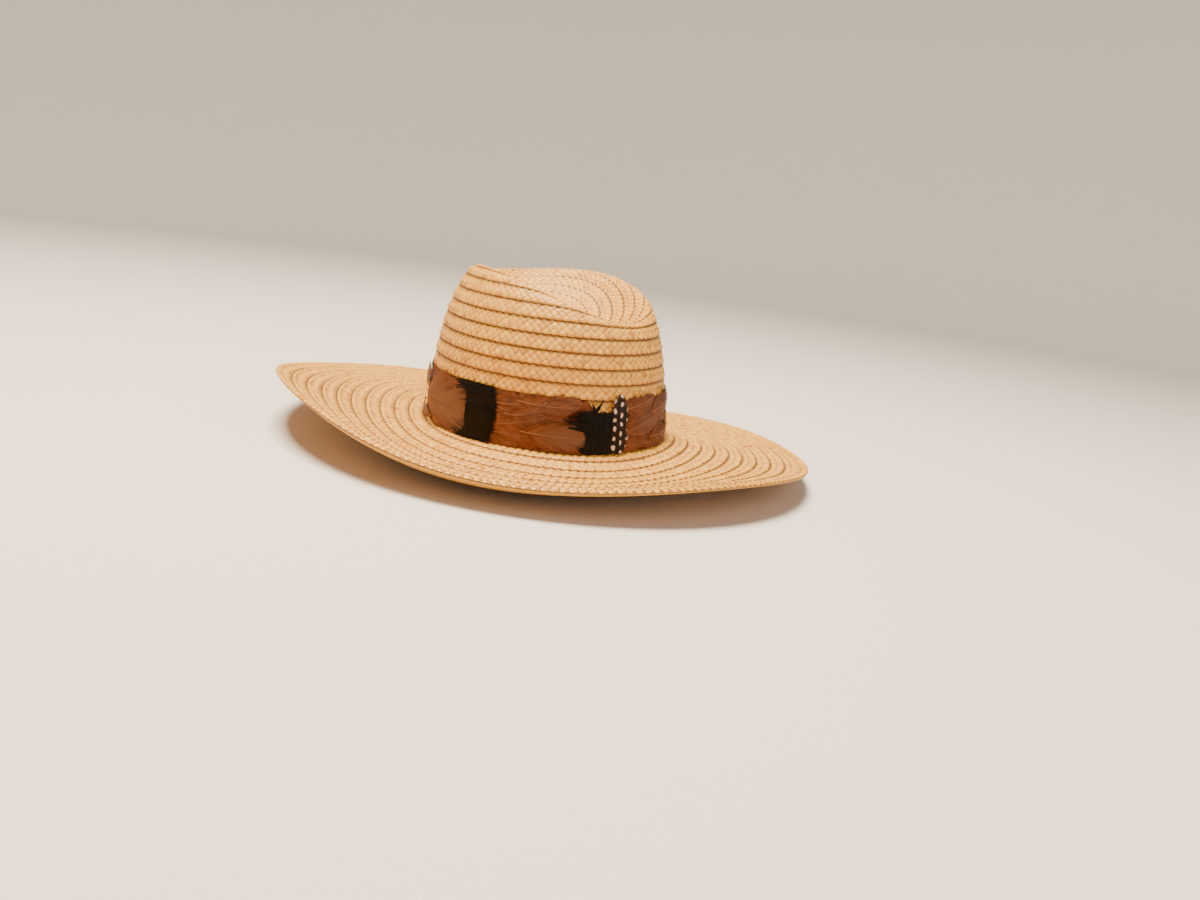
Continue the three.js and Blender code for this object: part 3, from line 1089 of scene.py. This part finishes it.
class StageSettings(bpy.types.PropertyGroup):
    """The camera, the lights and the floor."""

    azimuth: FloatProperty(name="Azimuth", description="Turn round the hat, degrees", default=143.5)
    elevation: FloatProperty(name="Elevation", description="Camera's height angle, degrees", default=12.8)
    roll: FloatProperty(name="Roll", description="Camera's roll, degrees", default=7.84)
    distance: FloatProperty(name="Distance", description="Camera to hat, mm", default=800.0)
    focal_pixels: FloatProperty(name="Focal length", description="In pixels of the frame", default=1005.0)
    target_x: FloatProperty(name="Target X", description="Hat axis in the frame, px", default=542.4)
    target_y: FloatProperty(name="Target Y", description="Hat foot in the frame, px", default=439.9)
    floor_colour: StringProperty(name="Floor", description="sRGB hex", default="#DAD6D0")
    sky_colour: StringProperty(name="Sky colour", description="sRGB hex", default="#F2F0EE")
    sky_strength: FloatProperty(name="Sky", description="Strength of the even light", default=0.28)
    key_power: FloatProperty(name="Key light", description="Watts", default=150.0)
    fill_power: FloatProperty(name="Fill light", description="Watts", default=7.0)


def straw_piece(name, node, splints, ribbon, shell):
    """Joins one straw piece from its splints, its ribbon and its shell, each with its own skin."""
    materials = [bpy.data.materials[skin] for skin in STRAW_SKINS]
    finish_piece(joined(name, [splints, ribbon, shell], materials), node)


class HAT_OT_crown(bpy.types.Operator):
    """Plait the crown's rows over its dished dome"""

    bl_idname = "straw_hat.crown"
    bl_label = "Plait the Crown"

    def execute(self, context):
        settings = context.scene.straw

        def place(run, angle, rise):
            return crown_layer(climb_from_tip(run), angle, rise)

        def middle(run, angle):
            return place(np.maximum(run, 0.5), angle, 0 * angle)

        splints, ribbon = plait_rows(
            "crown_splints", settings, place, middle, settings.crown_pitch, settings.crown_first,
            CROWN_RUNS[-1] - 2.0, above_band,
        )
        straw_piece("crown_braid", "crown", splints, ribbon, crown_shell(settings))
        return {"FINISHED"}


class HAT_OT_brim(bpy.types.Operator):
    """Plait the brim's rows out to its swept edge"""

    bl_idname = "straw_hat.brim"
    bl_label = "Plait the Brim"

    def execute(self, context):
        settings = context.scene.straw
        splints, ribbon = plait_rows(
            "brim_splints", settings, brim_layer, brim_face, settings.brim_pitch, settings.brim_first,
            BRIM_WIDTH, lambda reach, angle: reach > 0.5,
        )
        straw_piece("brim_braid", "brim", splints, ribbon, brim_shell(settings))
        return {"FINISHED"}


class HAT_OT_rust_feathers(bpy.types.Operator):
    """Lay the rust-brown feathers on their tape all round the crown"""

    bl_idname = "straw_hat.rust_feathers"
    bl_label = "Lay the Rust Feathers"

    def execute(self, context):
        settings = context.scene.feathers
        stops = ((0.0, settings.dark_rust), (0.45, settings.rust), (1.0, settings.bright_rust))
        rust, _, _, _ = feather_material(
            "Rust_brown_feather_barbs", stops, settings.tan_colour, 0.06, 1.33
        )
        feathers = (*small_feathers(settings), *RUST_FEATHERS)
        meshes = feather_mesh("rust_barbs", feathers, settings.seed, settings.shaft)
        materials = [rust, rust, tape_material(settings)]
        piece = joined("rust_feathers", [*meshes, band_tape()], materials)
        finish_piece(piece, "rust_feather_band")
        return {"FINISHED"}


class HAT_OT_black_feathers(bpy.types.Operator):
    """Lay the two black patches and the spotted feather over the band"""

    bl_idname = "straw_hat.black_feathers"
    bl_label = "Lay the Dark Feathers"

    def execute(self, context):
        settings = context.scene.feathers
        stops = ((0.0, settings.deep_black), (0.6, settings.black), (1.0, settings.soft_black))
        black, _, _, _ = feather_material("Black_feather_barbs", stops, settings.black, 0.0, 1.25)
        laid = (
            ("black_feathers", BLACK_FEATHERS, "black_feather", "black_feather", black),
            ("barbed_feathers", BARBED_FEATHERS, "barbed_black_feather", "black_feather", black),
            ("spotted_barbs", SPOTTED_FEATHERS, "spotted_feather", "spotted_feather",
             spot_material(settings)),
        )
        for seed, (name, feathers, node, slot, material) in enumerate(laid, settings.seed + 1):
            meshes = feather_mesh(name, feathers, seed, settings.shaft)
            finish_piece(joined(name, meshes, [material, material]), node)
        return {"FINISHED"}


class HAT_OT_straw(bpy.types.Operator):
    """Mix the straw's materials"""

    bl_idname = "straw_hat.straw"
    bl_label = "Mix the Straw"

    def execute(self, context):
        for mix in (straw_material, straw_edge_material, straw_back_material):
            mix(context.scene.straw)
        return {"FINISHED"}


class HAT_OT_stage(bpy.types.Operator):
    """Set the floor, the lights and the camera"""

    bl_idname = "straw_hat.stage"
    bl_label = "Set the Stage"

    def execute(self, context):
        for build in (add_floor, add_lights, add_camera):
            build(context.scene.stage_look)
        return {"FINISHED"}


def add_floor(settings):
    """A pale matt floor that sweeps up far behind the hat on every side."""
    bm = bmesh.new()
    turns = [math.pi / 2 * step / SWEEP_STEPS for step in range(SWEEP_STEPS + 1)]
    sweep = [
        (FLOOR_RADIUS + SWEEP_RADIUS * math.sin(t), SWEEP_RADIUS * (1 - math.cos(t))) for t in turns
    ]
    wall = (FLOOR_RADIUS + SWEEP_RADIUS, WALL_HEIGHT)
    outline = [(0.0, 0.0), (0.5, 0.0), (1.2, 0.0), *sweep, wall]
    corners = [bm.verts.new((out, 0.0, up)) for out, up in outline]
    edges = [bm.edges.new(pair) for pair in zip(corners, corners[1:])]
    bmesh.ops.spin(
        bm, geom=[*corners, *edges], cent=(0, 0, 0), axis=(0, 0, 1), dvec=(0, 0, 0), angle=FULL_TURN,
        steps=96,
    )
    bmesh.ops.remove_doubles(bm, verts=bm.verts, dist=1e-5)
    bmesh.ops.recalc_face_normals(bm, faces=bm.faces)
    bm.faces.ensure_lookup_table()
    if min(bm.faces, key=lambda face: face.calc_center_median().length).normal.z < 0:
        bmesh.ops.reverse_faces(bm, faces=bm.faces)
    mesh = bpy.data.meshes.new("floor")
    bm.to_mesh(mesh)
    bm.free()
    mesh.shade_smooth()
    material, tree, shader = new_material("Matt_pale_paint", Roughness=0.85)
    place = add_node(tree, "ShaderNodeTexCoord").outputs["Object"]
    shader.inputs["Base Color"].default_value = linear(settings.floor_colour)
    raise_surface(tree, shader, noise(tree, place, 60.0, 5.0), 0.05, 0.5)
    mesh.materials.append(material)
    floor = new_object("floor", mesh)


def add_lights(settings):
    """A soft key from overhead and a little to the camera's left, a weak fill and an even sky."""
    azimuth = math.radians(settings.azimuth)
    right = Vector((math.cos(azimuth), math.sin(azimuth), 0.0))
    back = Vector((math.sin(azimuth), -math.cos(azimuth), 0.0))
    for light, power in zip(LIGHTS, (settings.key_power, settings.fill_power)):
        data = bpy.data.lights.new(light["name"], "AREA")
        data.shape = "SQUARE"
        data.size = light["size"]
        data.energy = power
        data.color = linear(light["colour"])[:3]
        lamp = new_object(light["name"], data)
        lamp.location = back * light["back"] + right * light["right"] + Vector((0, 0, light["up"]))
        lamp.rotation_euler = (Vector(LIGHT_AIM) - lamp.location).to_track_quat("-Z", "Y").to_euler()
    world = bpy.data.worlds.new("studio")
    world.use_nodes = True
    sky = world.node_tree.nodes["Background"]
    sky.inputs[0].default_value = linear(settings.sky_colour)
    sky.inputs[1].default_value = settings.sky_strength
    bpy.context.scene.world = world


def add_camera(settings):
    """The photo's view of the hat: its place in the frame is set by moving, not by shift."""
    azimuth, elevation, roll = (
        math.radians(value) for value in (settings.azimuth, settings.elevation, settings.roll)
    )
    back = Vector((
        math.sin(azimuth) * math.cos(elevation), -math.cos(azimuth) * math.cos(elevation),
        math.sin(elevation),
    ))
    level = Vector((math.cos(azimuth), math.sin(azimuth), 0.0))
    upright = back.cross(level)
    right = level * math.cos(roll) + upright * math.sin(roll)
    up = -level * math.sin(roll) + upright * math.cos(roll)
    scale = settings.distance / settings.focal_pixels
    aside = (settings.target_x - FRAME_WIDTH / 2) * scale
    above = -(settings.target_y - FRAME_HEIGHT / 2) * scale
    foot = Vector(HAT_OFFSET) + Vector((0, 0, STRAW_WALL))
    data = bpy.data.cameras.new("camera")
    data.sensor_width = SENSOR_WIDTH
    data.lens = SENSOR_WIDTH * settings.focal_pixels / FRAME_WIDTH
    data.clip_end = 100.0
    camera = new_object("camera", data)
    place = (foot + back * settings.distance - right * aside - up * above) * MM
    camera.matrix_world = Matrix((
        (right.x, up.x, back.x, place.x), (right.y, up.y, back.y, place.y),
        (right.z, up.z, back.z, place.z), (0, 0, 0, 1),
    ))
    bpy.context.scene.camera = camera


class HAT_PT_panel(bpy.types.Panel):
    """The hat's operators, in the order they run"""

    bl_idname = "HAT_PT_panel"
    bl_label = "Straw Hat"
    bl_space_type = "VIEW_3D"
    bl_region_type = "UI"
    bl_category = "Straw Hat"

    def draw(self, context):
        for step in STEPS:
            self.layout.operator(step.bl_idname)


STEPS = (
    HAT_OT_stage, HAT_OT_straw, HAT_OT_crown, HAT_OT_brim, HAT_OT_rust_feathers, HAT_OT_black_feathers,
)
GROUPS = (StrawSettings, FeatherSettings, StageSettings)


def register():
    """Registers the settings, the operators and the panel."""
    for part in (*GROUPS, *STEPS, HAT_PT_panel):
        bpy.utils.register_class(part)
    bpy.types.Scene.straw = PointerProperty(type=StrawSettings)
    bpy.types.Scene.feathers = PointerProperty(type=FeatherSettings)
    bpy.types.Scene.stage_look = PointerProperty(type=StageSettings)


def unregister():
    """Takes the settings, the operators and the panel away."""
    del bpy.types.Scene.stage_look
    del bpy.types.Scene.feathers
    del bpy.types.Scene.straw
    for part in reversed((*GROUPS, *STEPS, HAT_PT_panel)):
        bpy.utils.unregister_class(part)


def main():
    register()
    for step in STEPS:
        family, action = step.bl_idname.split(".")
        getattr(getattr(bpy.ops, family), action)()


if __name__ == "__main__":
    main()
